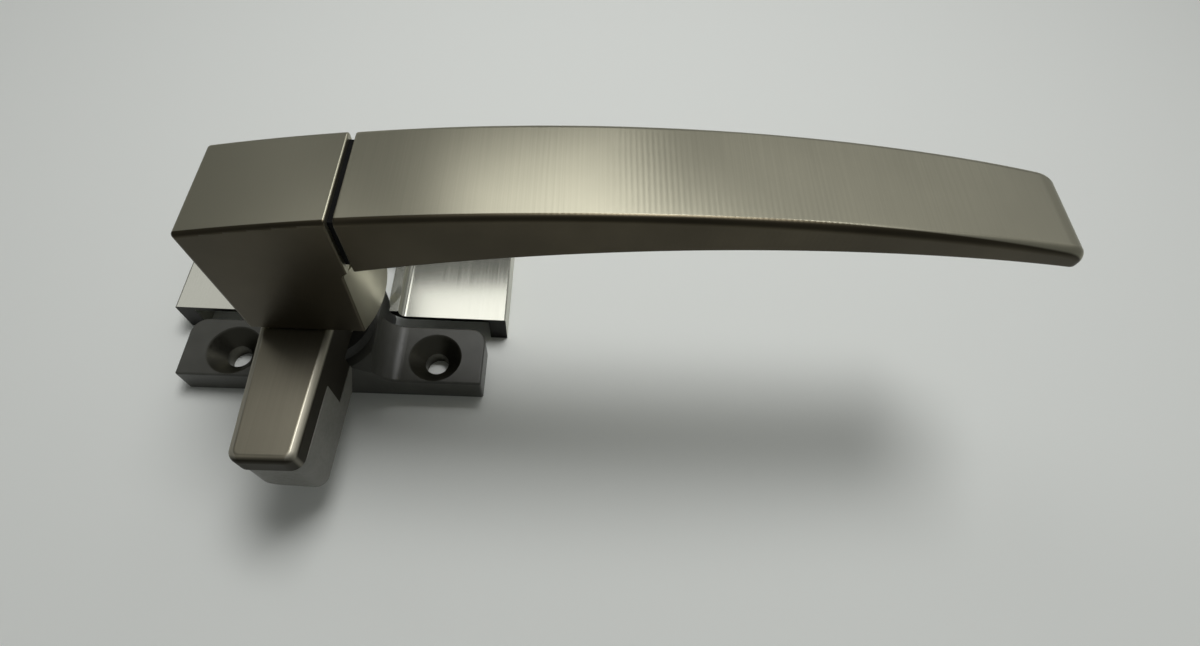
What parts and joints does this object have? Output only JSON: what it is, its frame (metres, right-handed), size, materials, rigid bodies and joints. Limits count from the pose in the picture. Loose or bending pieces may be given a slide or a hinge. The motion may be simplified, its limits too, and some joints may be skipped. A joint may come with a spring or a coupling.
{
  "type": "window cam handle",
  "caption": "Window cam handle: an arched lever on a square pivot block turns a wedge-shaped nose over a screw-down base with a sliding cover that hides the screws.",
  "frame": {"origin": "midway between the two fixing holes, on the mounting face", "axes": "+X along the lever in the closed position, +Y away from the window frame, +Z out of the mounting face"},
  "size_m": [0.1478, 0.0601, 0.0578],
  "materials": {
    "brushed_nickel": "warm satin nickel, brushed across the lever",
    "brushed_cover": "bright satin nickel, finely brushed",
    "grey_casting": "dark grey painted casting, satin",
    "pad_plastic": "grey moulded nylon",
    "washer_plastic": "dark grey moulded nylon",
    "bush_plastic": "black moulded acetal",
    "black_plastic": "black moulded plastic",
    "zinc_plated_steel": "bright zinc plate",
    "spring_steel": "blackened spring steel"
  },
  "bodies": {
    "base": {"base": "grey_casting", "pivot_bush": "bush_plastic", "thrust_washer": "washer_plastic"},
    "cover": {"base_cover": "brushed_cover"},
    "handle": {"handle_hub": "brushed_nickel", "handle_lever": "brushed_nickel", "lever_spacer": "black_plastic", "lever_screw": "zinc_plated_steel", "hub_set_screw": "spring_steel", "spindle": "zinc_plated_steel", "cam_nose": "brushed_nickel", "wedge_pad": "pad_plastic", "pad_screw": "zinc_plated_steel", "stop_washer": "zinc_plated_steel", "disc_spring": "spring_steel", "retaining_washer": "zinc_plated_steel", "retaining_ring": "spring_steel"}
  },
  "joints": [
    {"name": "handle_turn", "type": "hinge", "parent": "base", "child": "handle", "pos_m": [0, 0.0029, 0], "axis": [0, 0, 1], "range_deg": [0, 90]},
    {"name": "cover_slide", "type": "slide", "parent": "base", "child": "cover", "axis": [0, -1, 0], "range_m": [0, 0.0136]}
  ]
}
